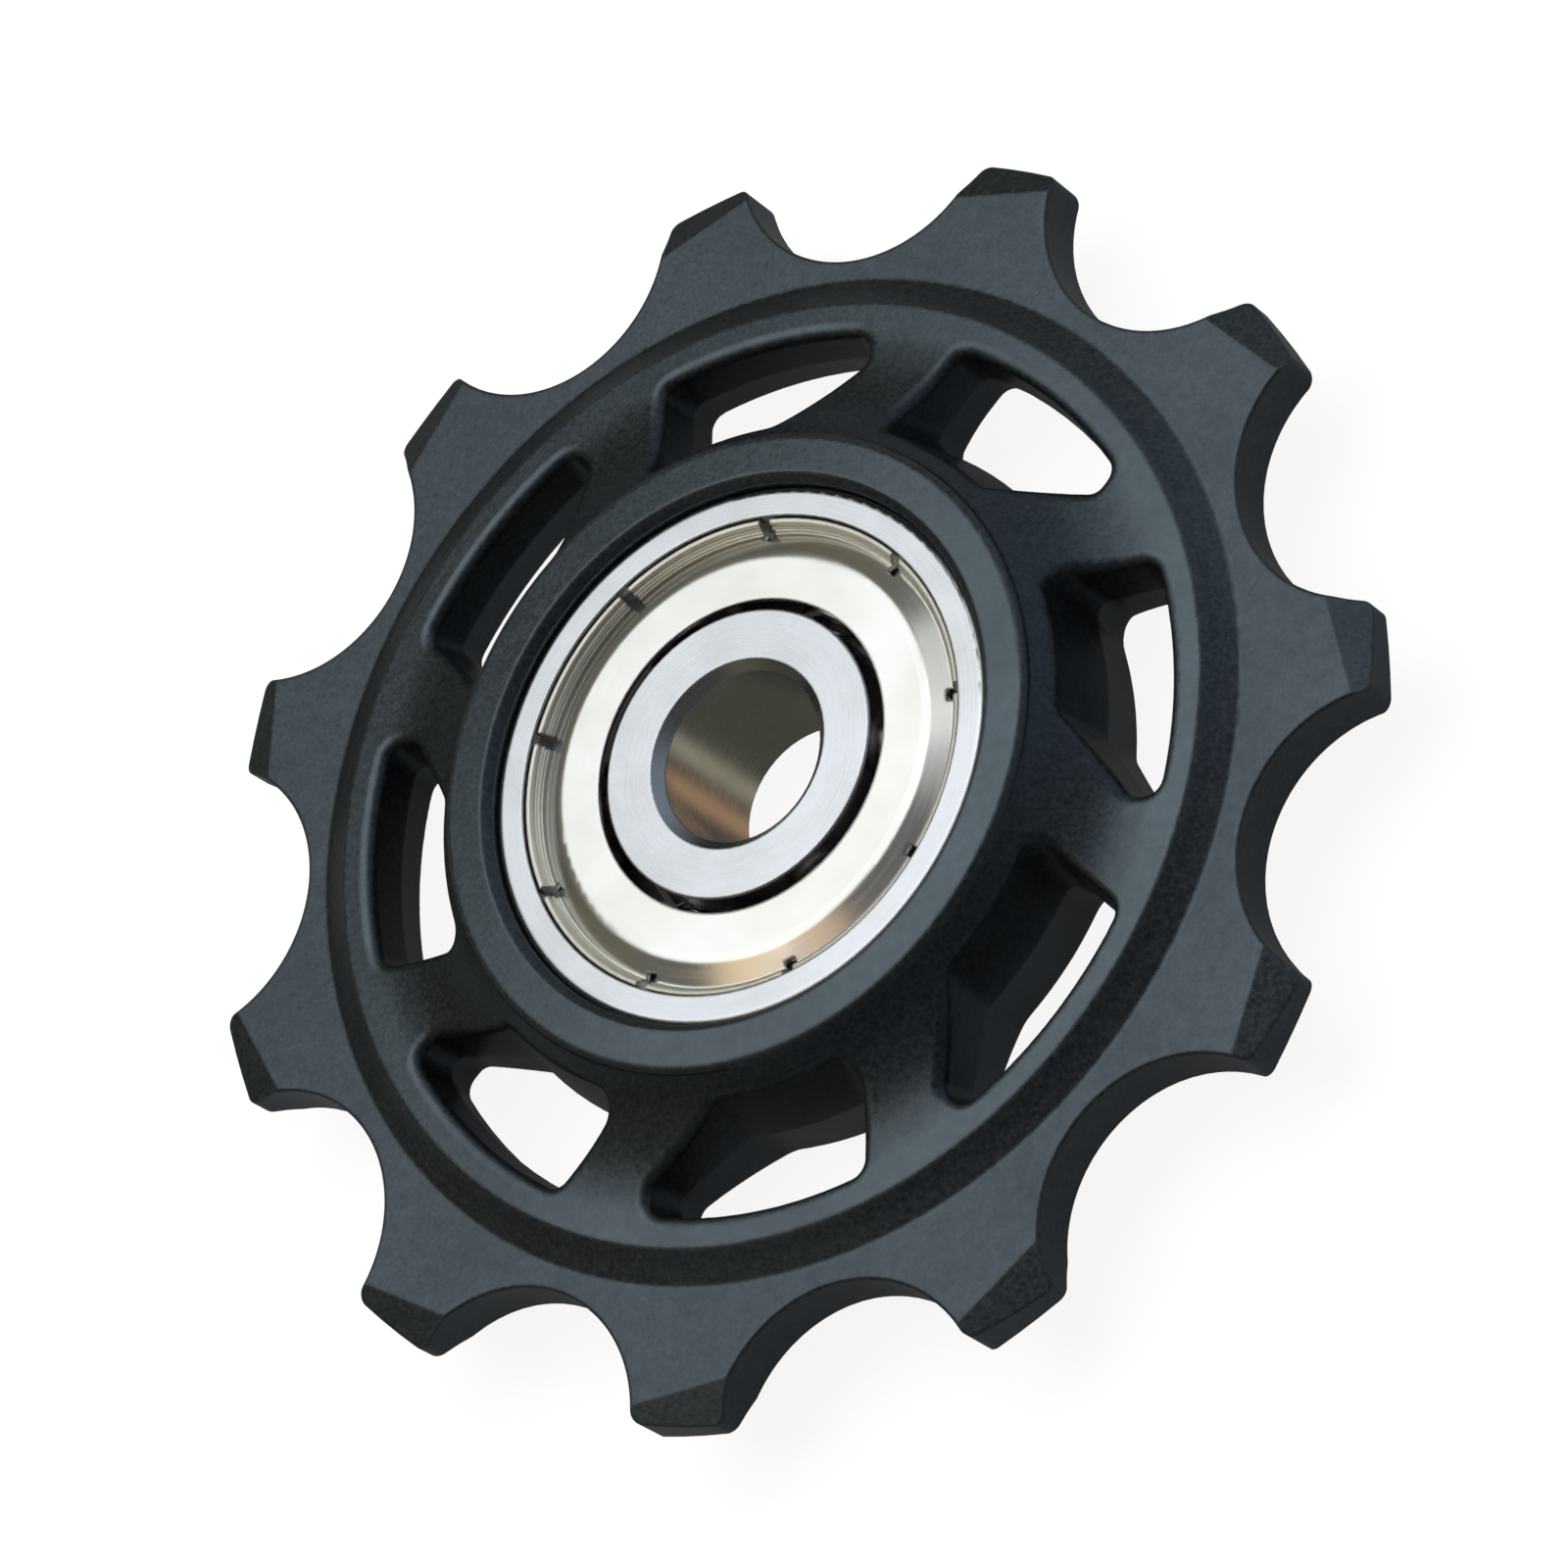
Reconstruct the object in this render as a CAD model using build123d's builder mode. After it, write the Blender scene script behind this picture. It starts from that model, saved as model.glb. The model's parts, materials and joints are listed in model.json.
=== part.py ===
from build123d import *
from math import atan2, cos, degrees, pi, radians, sin, sqrt, tan
import os

# Derailleur jockey wheel on a shielded ball bearing. Millimetres. The axle is Z, the shielded
# front faces +Z, and the origin is the wheel's centre, half-way through the tooth plate.

# Chain and teeth
chain_pitch = 12.7
tooth_count = 11
tooth_thickness = 2.0
root_below_pitch = 4.02
tip_below_pitch = 0.28
gullet_radius = 5.0
tip_corner_radius = 0.4
gullet_edge_radius = 0.12

# Skewed bevel across each tooth tip, deeper on the counter-clockwise flank
bevel_depth_shallow = 0.6
bevel_depth_deep = 1.5
bevel_angle = 24.0

# Bearing: boundary sizes
bearing_bore = 6.0
bearing_od = 19.0
bearing_width = 6.0
ring_corner_radius = 0.3
bore_chamfer = 0.36

# Bearing: balls, raceways and shoulders
ball_count = 6
ball_diameter = 3.5
groove_conformity = 0.52
ball_clearance = 0.03
inner_shoulder = 0.62
outer_shoulder = 0.44
shoulder_edge_break = 0.06

# Bearing: pressed ribbon cage
cage_band_width = 1.5
cage_sheet = 0.3
cage_pocket_clearance = 0.08
cage_tab_width = 0.8
cage_tab_sheet = 0.16
cage_tab_fold = 0.45

# Bearing: pressed shield and the groove that holds it
outer_face_width = 1.08
mouth_edge_radius = 0.04
shield_seat_depth = 0.85
shield_sheet = 0.2
shield_recess = 0.19
shield_gap = 0.42
shield_slope_width = 0.93
shield_slope_drop = 0.37
shield_shoulder_radius = 0.8
shield_ledge_width = 0.1
shield_ledge_depth = 0.32
shield_lip_width = 0.19
shield_lip_recess = 0.1
shield_lip_fall = 0.04
shield_lip_clearance = 0.06
shield_wall_batter = 0.02
shield_bend_radius = 0.04
shield_foot_width = 0.36
shield_groove_depth = 0.1
shield_groove_height = 0.3
shield_groove_clearance = 0.03
slit_count = 9
slit_width = 0.4
slit_reach = 0.28
slit_start_angle = 4.5

# Wheel: hub, web and rim
hub_width = 7.0
hub_wall = 1.75
hub_rim_radius = 0.3
seat_lead_in = 0.3
seat_lip_width = 0.5
flare_land = 0.5
web_thickness = 3.3
rim_ledge = 0.82
rim_slope_width = 1.12
rim_slope_radius = 0.2

# Wheel: slots through the web
slot_count = 8
slot_hub_wall = 1.1
slot_rim_wall = 1.28
spoke_width = 3.28
slot_shift = 0.18
slot_slant_angle = 123.0
slot_slant_share = 0.56
slot_corner_radius = 0.6
slot_draft_front = 11.0
slot_draft_side = 7.3
slot_draft_rear = 3.0
slot_edge_radius = 0.45

# Derived: bearing
bore_r = bearing_bore / 2
seat_r = bearing_od / 2
half_width = bearing_width / 2
ball_r = ball_diameter / 2
ball_ring_r = (bore_r + seat_r) / 2
groove_r = groove_conformity * ball_diameter
inner_race_r = ball_ring_r - ball_r - ball_clearance
outer_race_r = ball_ring_r + ball_r + ball_clearance
inner_land_r = inner_race_r + inner_shoulder
outer_land_r = outer_race_r - outer_shoulder
mouth_r = seat_r - outer_face_width
shield_seat_z = half_width - shield_seat_depth
pocket_r = ball_r + cage_pocket_clearance
pocket_back_r = pocket_r + cage_sheet
cage_in_r = ball_ring_r - cage_band_width / 2
cage_out_r = ball_ring_r + cage_band_width / 2
tab_angle = 180 / ball_count

# Derived: wheel
pitch_r = chain_pitch / 2 / sin(pi / tooth_count)
root_r = pitch_r - root_below_pitch
tip_r = pitch_r - tip_below_pitch
half_tooth = tooth_thickness / 2
half_web = web_thickness / 2
half_hub = hub_width / 2
hub_r = seat_r + hub_wall
lip_r = seat_r - seat_lip_width
flare_top_z = half_hub - hub_rim_radius
slope_foot_r = root_r - rim_ledge
slope_top_r = slope_foot_r - rim_slope_width
slot_in_r = hub_r + slot_hub_wall
slot_out_r = slope_top_r - slot_rim_wall
flare_end_r = slot_out_r - flare_land

# The wheel's section above the mid-plane: hub, concave flare, web, sloped step, tooth plate
with BuildPart() as pulley_wheel:
    with BuildSketch(Plane.XZ) as section:
        with BuildLine():
            Polyline((lip_r, 0), (lip_r, half_hub), (hub_r, half_hub), (hub_r, flare_top_z))
            TangentArc((flare_end_r, half_web), (hub_r, flare_top_z), tangent=(-1, 0))
            Polyline(
                (flare_end_r, half_web),
                (slope_top_r, half_web),
                (slope_foot_r, half_tooth),
                (tip_r, half_tooth),
                (tip_r, 0),
                (lip_r, 0),
            )
        make_face()
        rim_corner = section.vertices().sort_by(Axis.Y)[-2:].sort_by(Axis.X)[-1]
        fillet(rim_corner, radius=hub_rim_radius * 0.98)
        step_corners = section.vertices().filter_by(
            lambda v: slope_top_r - 0.01 < v.X < slope_foot_r + 0.01
        )
        fillet(step_corners, radius=rim_slope_radius)
        mirror(about=Plane.XZ)
    revolve(axis=Axis.Z)

    # Bearing seat from the front down to the lip at the rear
    with BuildSketch(Plane.XY.offset(-half_width)):
        Circle(seat_r)
    extrude(amount=half_width + half_hub, mode=Mode.SUBTRACT)
    mouth_edge = pulley_wheel.edges().filter_by(GeomType.CIRCLE).filter_by(
        lambda e: abs(e.radius - seat_r) < 0.01 and e.center().Z > half_hub - 0.01
    )
    chamfer(mouth_edge, length=seat_lead_in)

    # Gullets between the teeth, half-way from one tooth to the next
    with BuildSketch(Plane.XY.offset(-half_tooth)):
        with PolarLocations(root_r + gullet_radius, tooth_count, start_angle=180 / tooth_count):
            Circle(gullet_radius)
    extrude(amount=tooth_thickness, mode=Mode.SUBTRACT)
    tip_corners = pulley_wheel.edges().filter_by(Axis.Z).filter_by(
        lambda e: abs(sqrt(e.center().X ** 2 + e.center().Y ** 2) - tip_r) < 0.05
    )
    fillet(tip_corners, radius=tip_corner_radius)
    gullet_edges = pulley_wheel.edges().filter_by(
        lambda e: abs(abs(e.center().Z) - half_tooth) < 0.001
        and e.bounding_box().size.Z < 0.001
        and sqrt(e.center().X ** 2 + e.center().Y ** 2) > root_r - 0.05
    )
    fillet(gullet_edges, radius=gullet_edge_radius)

# One tip bevel, as the wedge that is cut away at the front and its mirror image at the rear
bevel_half_run = gullet_radius * 0.36
bevel_skew = degrees(atan2(bevel_depth_deep - bevel_depth_shallow, 2 * bevel_half_run))
bevel_mid_r = tip_r - (bevel_depth_shallow + bevel_depth_deep) / 2
bevel_line = Vector(-sin(radians(bevel_skew)), cos(radians(bevel_skew)), 0)
bevel_out = Vector(cos(radians(bevel_skew)), sin(radians(bevel_skew)), 0)
bevel_normal = bevel_out * sin(radians(bevel_angle)) + Vector(0, 0, cos(radians(bevel_angle)))
bevel_plane = Plane(origin=(bevel_mid_r, 0, half_tooth), x_dir=bevel_line, z_dir=bevel_normal)
with BuildPart() as tip_bevel:
    with BuildSketch(bevel_plane):
        Rectangle(2 * gullet_radius, 2 * bevel_depth_deep, align=(Align.CENTER, Align.MAX))
    extrude(amount=tooth_thickness)
    mirror(about=Plane.XY)

# One slot: narrowest at the mid-plane and drafted towards both faces, with a slanted clockwise end
slot_half = pi * (slot_in_r + slot_out_r) / 2 / slot_count - spoke_width / 2
slant_share_r = slot_in_r + slot_slant_share * (slot_out_r - slot_in_r)
slant_dir = Vector(cos(radians(slot_slant_angle)), sin(radians(slot_slant_angle)), 0)
wall_side = half_hub * tan(radians(slot_draft_side))
wall_front = half_hub * tan(radians(slot_draft_front))
wall_rear = half_hub * tan(radians(slot_draft_rear))
with BuildPart() as slot_cutter:
    for plan_z, grow_hub, grow_rim, grow_ends in (
        (-half_hub, wall_side, wall_side, wall_rear),
        (0, 0, 0, 0),
        (half_hub, wall_front, wall_side, wall_front),
    ):
        with BuildSketch(Plane.XY.offset(plan_z)) as slot_plan:
            in_r = slot_in_r - grow_hub
            out_r = slot_out_r + grow_rim
            ccw_y = slot_half + slot_shift + grow_ends
            cw_y = slot_half - slot_shift + grow_ends
            slant_top = Vector(slant_share_r, -cw_y, 0)
            slant_run = -slant_top.dot(slant_dir)
            slant_run -= sqrt(slant_run ** 2 - slant_top.dot(slant_top) + in_r ** 2)
            inner_cw = slant_top + slant_dir * slant_run
            outer_ccw = (sqrt(out_r ** 2 - ccw_y ** 2), ccw_y)
            outer_cw = (sqrt(out_r ** 2 - cw_y ** 2), -cw_y)
            inner_ccw = (sqrt(in_r ** 2 - ccw_y ** 2), ccw_y)
            inner_mid_y = (inner_cw.Y + ccw_y) / 2
            inner_mid = (sqrt(in_r ** 2 - inner_mid_y ** 2), inner_mid_y)
            with BuildLine():
                ThreePointArc(outer_ccw, (out_r, 0), outer_cw)
                Polyline(outer_cw, slant_top, inner_cw)
                ThreePointArc(inner_cw, inner_mid, inner_ccw)
                Line(inner_ccw, outer_ccw)
            make_face()
            short_side = outer_cw[0] - slant_top.X
            fillet(slot_plan.vertices(), radius=min(slot_corner_radius, 0.7 * short_side))
    loft(ruled=True)

with pulley_wheel:
    with PolarLocations(0, tooth_count):
        add(tip_bevel.part, mode=Mode.SUBTRACT)
    with PolarLocations(0, slot_count):
        add(slot_cutter.part, mode=Mode.SUBTRACT)
    slot_edges = pulley_wheel.edges(Select.LAST).filter_by(
        lambda e: abs(e.center().Z) > half_web - 0.05
    )
    fillet(slot_edges, radius=slot_edge_radius)

# Outer ring: raceway groove, shoulder and shield groove, the same on both sides
outer_groove_c = outer_race_r - groove_r
outer_groove_z = sqrt(groove_r ** 2 - (outer_land_r - outer_groove_c) ** 2)
undercut_r = mouth_r + shield_groove_depth
undercut_z = shield_seat_z + shield_groove_height
with BuildPart() as bearing_outer_ring:
    with BuildSketch(Plane.XZ) as outer_section:
        with BuildLine():
            ThreePointArc(
                (outer_land_r, -outer_groove_z),
                (outer_race_r, 0),
                (outer_land_r, outer_groove_z),
            )
            front_side = Polyline(
                (outer_land_r, outer_groove_z),
                (outer_land_r, shield_seat_z),
                (undercut_r, shield_seat_z),
                (undercut_r, undercut_z),
                (mouth_r, undercut_z + shield_groove_depth),
                (mouth_r, half_width),
                (seat_r, half_width),
                (seat_r, 0),
            )
            mirror(front_side, about=Plane.XZ)
        make_face()
        ring_corners = outer_section.vertices().filter_by(lambda v: v.X > seat_r - 0.01)
        fillet(ring_corners.filter_by(lambda v: abs(v.Y) > 0.01), radius=ring_corner_radius)
        mouth_corners = outer_section.vertices().filter_by(
            lambda v: abs(v.X - mouth_r) < 0.001 and abs(v.Y) > half_width - 0.001
        )
        fillet(mouth_corners, radius=mouth_edge_radius)
    revolve(axis=Axis.Z)

# Inner ring: bore for the axle, raceway groove between two shoulders
inner_groove_c = inner_race_r + groove_r
inner_groove_z = sqrt(groove_r ** 2 - (inner_groove_c - inner_land_r) ** 2)
with BuildPart() as bearing_inner_ring:
    with BuildSketch(Plane.XZ) as inner_section:
        with BuildLine():
            ThreePointArc(
                (inner_land_r, inner_groove_z),
                (inner_race_r, 0),
                (inner_land_r, -inner_groove_z),
            )
            Polyline(
                (inner_land_r, -inner_groove_z),
                (inner_land_r, -half_width),
                (bore_r, -half_width),
                (bore_r, half_width),
                (inner_land_r, half_width),
                (inner_land_r, inner_groove_z),
            )
        make_face()
        bore_corners = inner_section.vertices().group_by(Axis.X)[0]
        chamfer(bore_corners, length=bore_chamfer)
        land_corners = inner_section.vertices().filter_by(
            lambda v: v.X > inner_land_r - 0.01 and abs(v.Y) > half_width - 0.01
        )
        chamfer(land_corners, length=shoulder_edge_break)
    revolve(axis=Axis.Z)

# Cage: two ribbons with a round pocket for each ball, flat against each other between the balls
with BuildPart() as cage_front_half:
    with BuildSketch(Plane.XY):
        Circle(cage_out_r)
        Circle(cage_in_r, mode=Mode.SUBTRACT)
    extrude(amount=cage_sheet)
    with PolarLocations(ball_ring_r, ball_count):
        Sphere(pocket_back_r)
    with BuildSketch(Plane.XY):
        Circle(cage_out_r)
        Circle(cage_in_r, mode=Mode.SUBTRACT)
    extrude(amount=2 * pocket_back_r, mode=Mode.INTERSECT)
    with PolarLocations(ball_ring_r, ball_count):
        Sphere(pocket_r, mode=Mode.SUBTRACT)

with BuildPart() as cage_rear_half:
    add(mirror(cage_front_half.part, about=Plane.XY, mode=Mode.PRIVATE))

# Clinch tabs of the front ribbon, folded round the outer edge of the rear one
with cage_front_half:
    with BuildSketch(Plane.XY.offset(cage_sheet)):
        with PolarLocations(cage_out_r, ball_count, start_angle=tab_angle):
            Rectangle(2 * cage_tab_sheet, cage_tab_width)
    extrude(amount=-cage_sheet)
    with BuildSketch(Plane.XY):
        with PolarLocations(cage_out_r, ball_count, start_angle=tab_angle):
            Rectangle(cage_tab_sheet, cage_tab_width, align=(Align.MIN, Align.CENTER))
        Circle(cage_out_r, mode=Mode.SUBTRACT)
    extrude(amount=-cage_sheet)
    with BuildSketch(Plane.XY.offset(-cage_sheet)):
        with PolarLocations(cage_out_r + cage_tab_sheet, ball_count, start_angle=tab_angle):
            Rectangle(cage_tab_fold, cage_tab_width, align=(Align.MAX, Align.CENTER))
    extrude(amount=-cage_tab_sheet)

# Shield: flat over the balls, sloping down to a folded rim with a ledge, a lip and a foot in the groove
shield_in_r = inner_land_r + shield_gap
shield_top_z = half_width - shield_recess
lip_out_r = mouth_r - shield_lip_clearance
lip_in_r = lip_out_r - shield_lip_width
ledge_out_r = lip_in_r - shield_wall_batter
ledge_in_r = ledge_out_r - shield_ledge_width
valley_r = ledge_in_r - shield_wall_batter
plateau_end_r = valley_r - shield_slope_width
lip_top_z = half_width - shield_lip_recess
ledge_z = half_width - shield_ledge_depth
valley_z = shield_top_z - shield_slope_drop
foot_out_r = undercut_r - shield_groove_clearance
foot_in_r = foot_out_r - shield_foot_width
foot_top_z = undercut_z - shield_groove_clearance
under_end_r = plateau_end_r - shield_sheet * shield_slope_drop / shield_slope_width / 2
with BuildPart() as front_shield:
    with BuildSketch(Plane.XZ) as shield_section:
        with BuildLine():
            Polyline(
                (shield_in_r, shield_top_z),
                (plateau_end_r, shield_top_z),
                (valley_r, valley_z),
                (ledge_in_r, ledge_z),
                (ledge_out_r, ledge_z),
                (lip_in_r, lip_top_z - shield_lip_fall),
                (lip_out_r, lip_top_z),
                (lip_out_r, foot_top_z + foot_out_r - lip_out_r),
                (foot_out_r, foot_top_z),
                (foot_out_r, shield_seat_z),
                (foot_in_r, shield_seat_z),
                (under_end_r, shield_top_z - shield_sheet),
                (shield_in_r, shield_top_z - shield_sheet),
                close=True,
            )
        make_face()
        shoulder = shield_section.vertices().sort_by_distance((plateau_end_r, shield_top_z))[0]
        fillet(shoulder, radius=shield_shoulder_radius)
        rim_bends = shield_section.vertices().filter_by(
            lambda v: valley_r - 0.001 < v.X < lip_out_r + 0.001 and v.Y > valley_z - 0.001
        )
        fillet(rim_bends, radius=shield_bend_radius)
    revolve(axis=Axis.Z)
    slit_in_r = valley_r - slit_reach
    with BuildSketch(Plane.XY.offset(half_width)):
        with PolarLocations(slit_in_r, slit_count, start_angle=slit_start_angle):
            Rectangle(2 * (foot_out_r - slit_in_r), slit_width, align=(Align.MIN, Align.CENTER))
    extrude(amount=-bearing_width, mode=Mode.SUBTRACT)

os.makedirs("parts", exist_ok=True)

# Balls, evenly round the pitch circle
for ball_index in range(ball_count):
    with BuildPart() as ball:
        with PolarLocations(ball_ring_r, 1, start_angle=ball_index * 360 / ball_count):
            Sphere(ball_r)
    ball.part.label = f"ball_{ball_index + 1}"
    export_step(ball.part, f"parts/ball_{ball_index + 1}.step")

pulley_wheel.part.label = "pulley_wheel"
bearing_outer_ring.part.label = "bearing_outer_ring"
bearing_inner_ring.part.label = "bearing_inner_ring"
cage_front_half.part.label = "cage_front_half"
cage_rear_half.part.label = "cage_rear_half"
front_shield.part.label = "front_shield"

export_step(pulley_wheel.part, "parts/pulley_wheel.step")
export_step(bearing_outer_ring.part, "parts/bearing_outer_ring.step")
export_step(bearing_inner_ring.part, "parts/bearing_inner_ring.step")
export_step(cage_front_half.part, "parts/cage_front_half.step")
export_step(cage_rear_half.part, "parts/cage_rear_half.step")
export_step(front_shield.part, "parts/front_shield.step")
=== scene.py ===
import json
import math

import bpy
from mathutils import Matrix, Vector


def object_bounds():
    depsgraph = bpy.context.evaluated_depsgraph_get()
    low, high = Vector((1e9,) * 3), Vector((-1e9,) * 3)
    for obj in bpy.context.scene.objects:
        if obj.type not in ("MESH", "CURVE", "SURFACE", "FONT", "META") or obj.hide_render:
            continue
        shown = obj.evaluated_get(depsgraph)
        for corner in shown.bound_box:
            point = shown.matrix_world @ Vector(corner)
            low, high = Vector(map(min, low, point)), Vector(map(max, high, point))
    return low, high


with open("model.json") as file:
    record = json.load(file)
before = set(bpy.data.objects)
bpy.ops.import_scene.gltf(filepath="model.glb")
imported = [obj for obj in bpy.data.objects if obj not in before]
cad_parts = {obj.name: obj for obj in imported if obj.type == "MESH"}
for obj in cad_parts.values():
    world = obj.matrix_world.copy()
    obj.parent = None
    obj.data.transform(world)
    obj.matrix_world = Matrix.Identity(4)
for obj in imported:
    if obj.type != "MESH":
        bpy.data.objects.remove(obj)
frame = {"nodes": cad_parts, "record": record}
cad_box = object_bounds()

MM = 0.001

# The floor lies a hair under the hub, so that the two faces do not flicker when seen from below
FLOOR_GAP = 0.02 * MM
FLOOR_Z = cad_box[0][2] - FLOOR_GAP
FLOOR_HALF = 3.0

# Camera: the photograph's viewing angle and distance, aimed at the wheel's centre
CAMERA_RIGHT = (0.8528, 0.0202, -0.5230)
CAMERA_UP = (0.1872, 0.9207, 0.3420)
CAMERA_DISTANCE = 252.8 * MM
CAMERA_LENS = 175.0

# Heights over the wheel's middle plane and radii from the axle between which a look comes in or goes
LEAN_HEIGHTS = (1.25 * MM, 1.55 * MM)
WEB_HEIGHTS = (1.45 * MM, 1.60 * MM)
HUB_FACE_HEIGHTS = (3.30 * MM, 3.48 * MM)
SPOKE_START_RADII = (12.2 * MM, 13.2 * MM)
SPOKE_END_RADII = (14.9 * MM, 15.5 * MM)
RIM_RADII = (15.1 * MM, 15.7 * MM)
SHIELD_LIP_RADII = (7.96 * MM, 8.03 * MM)

# Slopes by which the faces of the wheel fall away from the axle, and more so on the spokes
FACE_LEAN = 0.125
SPOKE_LEAN = 0.10
FACE_GLOSS = 0.16

# Floor: rings of it under the bore and under the bearing, between which its white is held back as a
# painted shadow, and its added white for the eye and for gloss
BORE_RADII = (3.1 * MM, 3.4 * MM)
BORE_HOLE_RADII = (3.5 * MM, 3.9 * MM)
BEARING_RADII = (7.0 * MM, 7.8 * MM)
BEHIND_Y = (-1.0 * MM, 0.4 * MM)
BEHIND_WIDENING = 0.6 * MM
FLOOR_WHITE = 0.90
FLOOR_MIRRORED = 0.10

# Lamps: name, direction from the wheel, distance (m), width and height (m), power (W), colour
LAMPS = (
    ("softbox", (-0.318, 0.253, 0.9135), 0.60, (0.60, 0.437), 1.11, (0.94, 0.975, 1.0)),
    ("side_panel", (0.165, 0.50, 0.850), 0.60, (0.17, 0.46), 0.172, (0.95, 0.985, 1.0)),
    ("cream_card", (-0.45, -0.26, 0.855), 0.45, (0.118, 0.118), 0.0400, (1.0, 0.75, 0.45)),
    ("warm_card", (-0.20, -0.245, 0.95), 0.45, (0.071, 0.071), 0.0135, (1.0, 0.62, 0.34)),
)

# Room: level directions of its dark front and its cool right side, and of two warm patches
# under the floor (degrees from -X), which the bore mirrors
ROOM_FRONT = (0.78, -0.62)
ROOM_RIGHT = (0.80, 0.60)
CREAM_PATCH = (174.6, 22.0)
ORANGE_PATCH = (222.6, 28.0)


class Shader:
    """The nodes of one material or world; a socket takes a value or the output of another node."""

    def __init__(self, name, world=False):
        self.owner = bpy.data.worlds.new(name) if world else bpy.data.materials.new(name)
        self.owner.use_nodes = True
        self.tree = self.owner.node_tree
        self.tree.nodes.clear()
        self.out = "OutputWorld" if world else "OutputMaterial"
        self.coords = self.node("TexCoord").outputs["Generated" if world else "Object"]

    def node(self, kind, inputs=None, **settings):
        made = self.tree.nodes.new("ShaderNode" + kind)
        for key, value in settings.items():
            setattr(made, key, value)
        for key, value in (inputs or {}).items():
            self.plug(made.inputs[key], value)
        return made

    def plug(self, socket, value):
        if isinstance(value, bpy.types.NodeSocket):
            self.tree.links.new(value, socket)
        else:
            socket.default_value = value

    def math(self, operation, a, b=0.0):
        return self.node("Math", {0: a, 1: b}, operation=operation).outputs[0]

    def vector(self, operation, a, b=(0.0, 0.0, 0.0)):
        return self.node("VectorMath", {0: a, 1: b}, operation=operation).outputs[0]

    def remap(self, value, from_low, from_high, to_low, to_high):
        inputs = {
            "Value": value,
            "From Min": from_low,
            "From Max": from_high,
            "To Min": to_low,
            "To Max": to_high,
        }
        return self.node("MapRange", inputs).outputs["Result"]

    def noise(self, scale, detail=2.0, roughness=0.5, vector=None):
        inputs = {
            "Vector": vector or self.coords,
            "Scale": scale,
            "Detail": detail,
            "Roughness": roughness,
        }
        return self.node("TexNoise", inputs).outputs["Fac"]

    def mix(self, factor, low, high):
        made = self.node("Mix", data_type="RGBA")
        self.plug(made.inputs[0], factor)
        self.plug(made.inputs[6], low)
        self.plug(made.inputs[7], high)
        return made.outputs[2]

    def bump(self, height, distance, strength=1.0, normal=None):
        inputs = {"Height": height, "Distance": distance, "Strength": strength}
        if normal is not None:
            inputs["Normal"] = normal
        return self.node("Bump", inputs).outputs["Normal"]

    def polar(self):
        """Radius, angle and height of the point about the axle."""
        x, y, z = self.node("SeparateXYZ", {0: self.coords}).outputs
        square = self.math("ADD", self.math("MULTIPLY", x, x), self.math("MULTIPLY", y, y))
        return self.math("SQRT", square), self.math("ARCTAN2", y, x), z

    def turned_lines(self, across, around):
        """Noise drawn out round the axle: across sets the lines per metre, around their breaks."""
        radius, angle, height = self.polar()
        lines = self.node("CombineXYZ", {
            0: self.math("MULTIPLY", radius, across),
            1: self.math("MULTIPLY", angle, around),
            2: self.math("MULTIPLY", height, across),
        })
        return self.noise(1.0, 3.0, 0.6, lines.outputs[0])

    def band(self, angle, middle, half):
        """A soft band of directions, 1 in its middle: its angle and its half width in degrees."""
        turn = 2.0 * math.pi
        angle = self.math("MODULO", self.math("ADD", angle, turn), turn)
        off = self.math("ABSOLUTE", self.math("SUBTRACT", angle, math.radians(middle)))
        inputs = {"Value": off, "From Min": math.radians(half), "From Max": 0.0}
        return self.node("MapRange", inputs, interpolation_type="SMOOTHSTEP").outputs["Result"]

    def lean(self, normal, slope):
        """The normal of a face that falls away from the axle by this slope."""
        out = self.vector("NORMALIZE", self.vector("MULTIPLY", self.coords, (1.0, 1.0, 0.0)))
        out = self.node("VectorTransform", {0: out}, convert_from="OBJECT", convert_to="WORLD")
        out = self.node("VectorMath", {0: out.outputs[0], "Scale": slope}, operation="SCALE")
        return self.vector("NORMALIZE", self.vector("ADD", normal, out.outputs[0]))

    def edges(self, radius):
        """A normal rounded over the edges, and a mask that is 1 on them."""
        rounded = self.node("Bevel", {"Radius": radius}, samples=6).outputs["Normal"]
        true = self.node("NewGeometry").outputs["True Normal"]
        dot = self.node("VectorMath", {0: rounded, 1: true}, operation="DOT_PRODUCT")
        return rounded, self.remap(dot.outputs["Value"], 0.995, 0.90, 0.0, 1.0)

    def finish(self, surface):
        self.node(self.out, {"Surface": surface.outputs[0]})
        return self.owner


def grey(r, g, b):
    return (r, g, b, 1.0)


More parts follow.
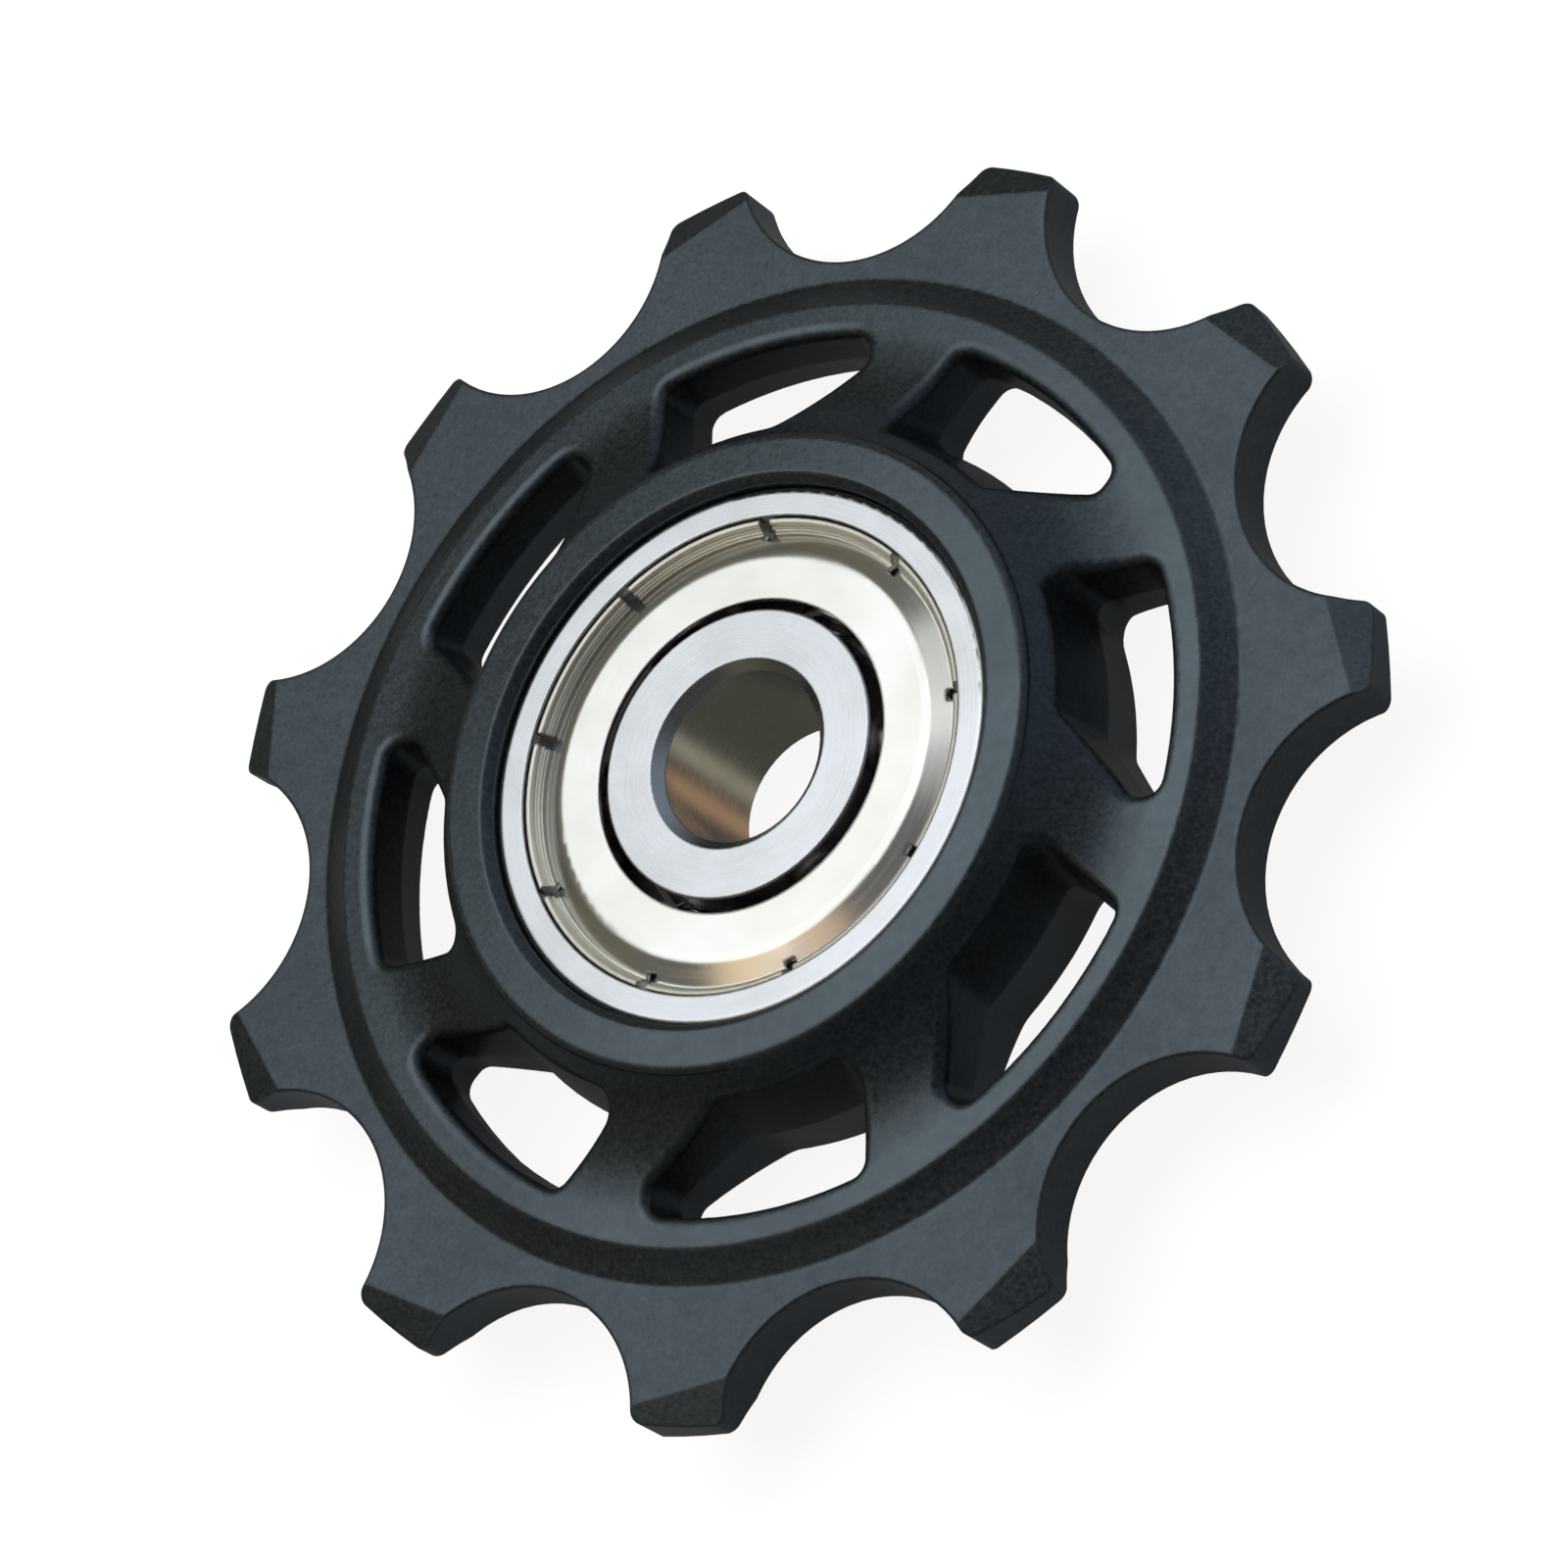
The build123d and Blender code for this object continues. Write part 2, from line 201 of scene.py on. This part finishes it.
def wheel_resin():
    """Black moulded resin with a fine grain and lighter edges, partly wear and partly a painted edge
    highlight; its web and hub faces lean outward a little.
    """
    s = Shader("wheel_resin")
    rounded, edge = s.edges(0.16 * MM)
    grain = s.noise(5200.0, 4.0, 0.62)
    speck = s.noise(6200.0, 3.0, 0.55)
    mottle = s.noise(2300.0, 2.0, 0.5)
    cloud = s.noise(240.0, 3.0, 0.55)
    dark, light = grey(0.005, 0.006, 0.007), grey(0.022, 0.024, 0.026)
    tone = s.mix(s.remap(speck, 0.38, 0.66, 0.0, 1.0), dark, light)
    tone = s.mix(s.remap(cloud, 0.35, 0.65, 0.0, 0.35), tone, grey(0.010, 0.012, 0.014))
    # Lighter grey on the edges: partly edge wear, partly a painted edge highlight
    wear_and_edge_highlight = s.math("MULTIPLY", edge, s.remap(s.noise(1400.0, 3.0), 0.35, 0.7, 0.25, 0.8))
    tone = s.mix(wear_and_edge_highlight, tone, grey(0.075, 0.082, 0.088))

    radius, _, height = s.polar()
    height = s.math("ABSOLUTE", height)
    web = s.remap(height, *WEB_HEIGHTS, 0.0, 1.0)
    rim = s.math("MULTIPLY", web, s.remap(radius, *RIM_RADII, 0.0, FACE_GLOSS))
    hub_face = s.remap(height, *HUB_FACE_HEIGHTS, 0.0, FACE_GLOSS)
    gloss = s.math(
        "ADD",
        s.remap(speck, 0.30, 0.70, -0.12, 0.12),
        s.remap(mottle, 0.30, 0.70, 0.62, 0.74),
    )
    gloss = s.math("ADD", gloss, s.math("MAXIMUM", rim, hub_face))

    spoke = s.math(
        "MULTIPLY",
        s.remap(radius, *SPOKE_START_RADII, 0.0, 1.0),
        s.remap(radius, *SPOKE_END_RADII, 1.0, 0.0),
    )
    slope = s.math("ADD", s.math("MULTIPLY", spoke, SPOKE_LEAN), FACE_LEAN)
    slope = s.math("MULTIPLY", slope, s.remap(height, *LEAN_HEIGHTS, 0.0, 1.0))
    leaning = s.lean(rounded, slope)

    rough = s.math(
        "ADD",
        s.remap(cloud, 0.3, 0.7, 0.34, 0.42),
        s.remap(speck, 0.35, 0.65, -0.04, 0.05),
    )
    surface = s.node("BsdfPrincipled", {
        "Base Color": tone,
        "Roughness": rough,
        "IOR": 1.74,
        "Specular IOR Level": gloss,
        "Specular Tint": grey(0.70, 0.87, 1.0),
        "Normal": s.bump(grain, 0.009 * MM, 0.9, leaning),
    })
    return s.finish(surface)


def ring_steel():
    """Ground bearing steel with fine turned lines, a thin film and a painted highlight on its edges."""
    s = Shader("ring_steel")
    rounded, edge = s.edges(0.10 * MM)
    lines = s.turned_lines(14000.0, 2.2)
    film = s.noise(420.0, 3.0, 0.6)
    dark, light = grey(0.62, 0.64, 0.67), grey(0.70, 0.71, 0.73)
    tone = s.mix(s.remap(lines, 0.3, 0.7, 0.0, 1.0), dark, light)
    tone = s.mix(s.remap(film, 0.45, 0.75, 0.0, 0.35), tone, grey(0.63, 0.62, 0.59))
    # Brighter on the edges: a painted edge highlight
    tone = s.mix(s.math("MULTIPLY", edge, 0.4), tone, grey(0.86, 0.87, 0.88))
    rough = s.math(
        "ADD",
        s.remap(lines, 0.3, 0.7, 0.20, 0.30),
        s.remap(film, 0.4, 0.7, 0.0, 0.05),
    )
    surface = s.node("BsdfPrincipled", {
        "Base Color": tone,
        "Metallic": 1.0,
        "Roughness": rough,
        "Anisotropic": 0.45,
        "Tangent": s.node("Tangent", direction_type="RADIAL", axis="Z").outputs[0],
        "Normal": s.bump(lines, 0.0012 * MM, 0.6, rounded),
    })
    return s.finish(surface)


def shield_steel():
    """Satin pressed sheet, duller on its lip, where a creamier tone is a painted reflection."""
    s = Shader("shield_steel")
    rounded, _ = s.edges(0.14 * MM)
    drawn = s.turned_lines(9000.0, 3.0)
    film = s.noise(260.0, 3.0, 0.6)
    lip = s.remap(s.polar()[0], *SHIELD_LIP_RADII, 0.0, 1.0)
    clean, filmed = grey(0.74, 0.735, 0.70), grey(0.70, 0.68, 0.62)
    tone = s.mix(s.remap(film, 0.35, 0.7, 0.0, 1.0), clean, filmed)
    tone = s.mix(s.remap(drawn, 0.4, 0.75, 0.0, 0.4), tone, grey(0.80, 0.79, 0.76))
    # Creamier, lighter lip: a painted reflection
    tone = s.mix(s.math("MULTIPLY", lip, 0.7), tone, grey(0.90, 0.87, 0.74))
    rough = s.math(
        "ADD",
        s.remap(drawn, 0.3, 0.7, 0.15, 0.20),
        s.remap(film, 0.35, 0.7, 0.0, 0.04),
    )
    rough = s.math("ADD", rough, s.math("MULTIPLY", lip, 0.26))
    surface = s.node("BsdfPrincipled", {
        "Base Color": tone,
        "Metallic": 1.0,
        "Roughness": rough,
        "Normal": s.bump(drawn, 0.0012 * MM, 0.3, rounded),
    })
    return s.finish(surface)


def cage_steel():
    """Pressed sheet, darkened by oil."""
    s = Shader("cage_steel")
    rounded, _ = s.edges(0.05 * MM)
    grain = s.noise(3600.0, 3.0, 0.6)
    film = s.noise(500.0, 2.0, 0.5)
    clean, oiled = grey(0.42, 0.41, 0.38), grey(0.30, 0.28, 0.24)
    surface = s.node("BsdfPrincipled", {
        "Base Color": s.mix(s.remap(film, 0.35, 0.7, 0.0, 1.0), clean, oiled),
        "Metallic": 1.0,
        "Roughness": s.remap(grain, 0.3, 0.7, 0.24, 0.36),
        "Normal": s.bump(grain, 0.002 * MM, 0.5, rounded),
    })
    return s.finish(surface)


def ball_steel():
    """Polished balls under a thin film."""
    s = Shader("ball_steel")
    film = s.noise(900.0, 3.0, 0.55)
    clean, filmed = grey(0.76, 0.76, 0.77), grey(0.70, 0.68, 0.64)
    surface = s.node("BsdfPrincipled", {
        "Base Color": s.mix(s.remap(film, 0.4, 0.7, 0.0, 1.0), clean, filmed),
        "Metallic": 1.0,
        "Roughness": s.remap(film, 0.3, 0.7, 0.05, 0.12),
        "Normal": s.bump(film, 0.0005 * MM, 0.3),
    })
    return s.finish(surface)


MATERIALS = {
    "wheel_resin": wheel_resin(),
    "ring_steel": ring_steel(),
    "shield_steel": shield_steel(),
    "cage_steel": cage_steel(),
    "ball_steel": ball_steel(),
}
for row in frame["record"]["subparts"]:
    mesh = frame["nodes"][row["node"]].data
    mesh.materials.clear()
    mesh.materials.append(MATERIALS[row["material_slot"]])


def floor_paper():
    """Pale paper, lit and shaded as any matt surface, with white added for the eye and for gloss.

    The white is held back under the open bearing as a painted shadow, where it would shine through
    between the balls.
    Mirrored rays pass the floor under the bore, and the floor is clear from below.
    """
    s = Shader("floor_paper")
    fibre = s.noise(900.0, 3.0, 0.6)
    dark, light = grey(0.33, 0.33, 0.33), grey(0.35, 0.35, 0.35)
    paper = s.node("BsdfDiffuse", {
        "Color": s.mix(s.remap(fibre, 0.3, 0.7, 0.0, 1.0), dark, light),
    })
    path = s.node("LightPath").outputs
    radius = s.polar()[0]
    y = s.node("SeparateXYZ", {0: s.coords}).outputs[1]
    behind = s.remap(y, *BEHIND_Y, 0.0, BEHIND_WIDENING)
    under_bore = s.remap(s.math("SUBTRACT", radius, behind), *BORE_RADII, 1.0, 0.0)
    # Painted shadow: the floor's white is held back in a ring between the bore and the bearing's rim
    clear_of_painted_shadow = s.math("MAXIMUM", under_bore, s.remap(radius, *BEARING_RADII, 0.0, 1.0))
    seen = s.math("MAXIMUM", path["Is Camera Ray"], path["Is Transmission Ray"])
    seen = s.math("MULTIPLY", s.math("MULTIPLY", seen, clear_of_painted_shadow), FLOOR_WHITE)
    mirrored = s.math("MULTIPLY", path["Is Glossy Ray"], FLOOR_MIRRORED)
    white = s.node("Emission", {
        "Color": grey(1.0, 1.0, 1.0),
        "Strength": s.math("MAXIMUM", seen, mirrored),
    })
    sheet = s.node("AddShader", {0: paper.outputs[0], 1: white.outputs[0]})
    hole = s.remap(radius, *BORE_HOLE_RADII, 1.0, 0.0)
    hole = s.math("MULTIPLY", path["Is Glossy Ray"], hole)
    hole = s.math("MAXIMUM", hole, s.node("NewGeometry").outputs["Backfacing"])
    clear = s.node("BsdfTransparent")
    return s.finish(s.node("MixShader", {0: hole, 1: sheet.outputs[0], 2: clear.outputs[0]}))


def make_floor():
    corners = ((-1, -1), (1, -1), (1, 1), (-1, 1))
    points = [(x * FLOOR_HALF, y * FLOOR_HALF, FLOOR_Z) for x, y in corners]
    mesh = bpy.data.meshes.new("floor")
    mesh.from_pydata(points, [], [(0, 1, 2, 3)])
    floor = bpy.data.objects.new("floor", mesh)
    bpy.context.scene.collection.objects.link(floor)
    mesh.materials.append(floor_paper())


def make_lamp(name, direction, distance, size, power, colour):
    data = bpy.data.lights.new(name, "AREA")
    data.shape = "RECTANGLE"
    data.size, data.size_y = size
    data.energy = power
    data.color = colour
    lamp = bpy.data.objects.new(name, data)
    away = Vector(direction).normalized()
    lamp.location = away * distance
    lamp.rotation_euler = away.to_track_quat("Z", "Y").to_euler()
    lamp.visible_camera = False
    bpy.context.scene.collection.objects.link(lamp)


def make_world():
    """A dim room: dark low down, olive above that, grey overhead, dark in front; white for the eye."""
    s = Shader("studio", world=True)
    x, y, z = s.node("SeparateXYZ", {0: s.coords}).outputs

    def along(direction):
        return s.math("ADD", s.math("MULTIPLY", x, direction[0]), s.math("MULTIPLY", y, direction[1]))

    low, olive = grey(0.050, 0.048, 0.034), grey(0.150, 0.142, 0.100)
    tone = s.mix(s.remap(z, 0.18, 0.46, 0.0, 1.0), low, olive)
    tone = s.mix(s.remap(z, 0.50, 0.80, 0.0, 1.0), tone, grey(0.118, 0.121, 0.124))
    front = s.remap(along(ROOM_FRONT), 0.12, 0.42, 0.0, 1.0)
    tone = s.mix(front, tone, grey(0.055, 0.056, 0.058))
    right = s.remap(along(ROOM_RIGHT), 0.40, 0.90, 0.0, 1.0)
    tone = s.mix(right, tone, grey(0.21, 0.25, 0.30))

    turned = s.math("ARCTAN2", s.math("MULTIPLY", y, -1.0), s.math("MULTIPLY", x, -1.0))
    cream = grey(0.44, 0.40, 0.29)
    under = s.mix(s.band(turned, *CREAM_PATCH), grey(0.078, 0.076, 0.058), cream)
    under = s.mix(s.band(turned, *ORANGE_PATCH), under, grey(0.52, 0.31, 0.18))
    tone = s.mix(s.remap(z, -0.30, -0.45, 0.0, 1.0), tone, under)

    room = s.node("Background", {"Color": tone})
    backdrop = s.node("Background", {"Color": grey(1.0, 1.0, 1.0)})
    seen = s.node("LightPath").outputs["Is Camera Ray"]
    mixed = s.node("MixShader", {0: seen, 1: room.outputs[0], 2: backdrop.outputs[0]})
    bpy.context.scene.world = s.finish(mixed)


def make_camera():
    right = Vector(CAMERA_RIGHT).normalized()
    up = Vector(CAMERA_UP)
    up = (up - right * up.dot(right)).normalized()
    back = right.cross(up)
    data = bpy.data.cameras.new("camera")
    data.lens = CAMERA_LENS
    data.sensor_width = 36.0
    data.clip_start = 0.01
    camera = bpy.data.objects.new("camera", data)
    pose = Matrix((right, up, back)).transposed().to_4x4()
    pose.translation = back * CAMERA_DISTANCE
    camera.matrix_world = pose
    bpy.context.scene.collection.objects.link(camera)
    bpy.context.scene.camera = camera


make_floor()
for lamp_row in LAMPS:
    make_lamp(*lamp_row)
make_world()
make_camera()
bpy.context.scene.view_settings.view_transform = "Standard"
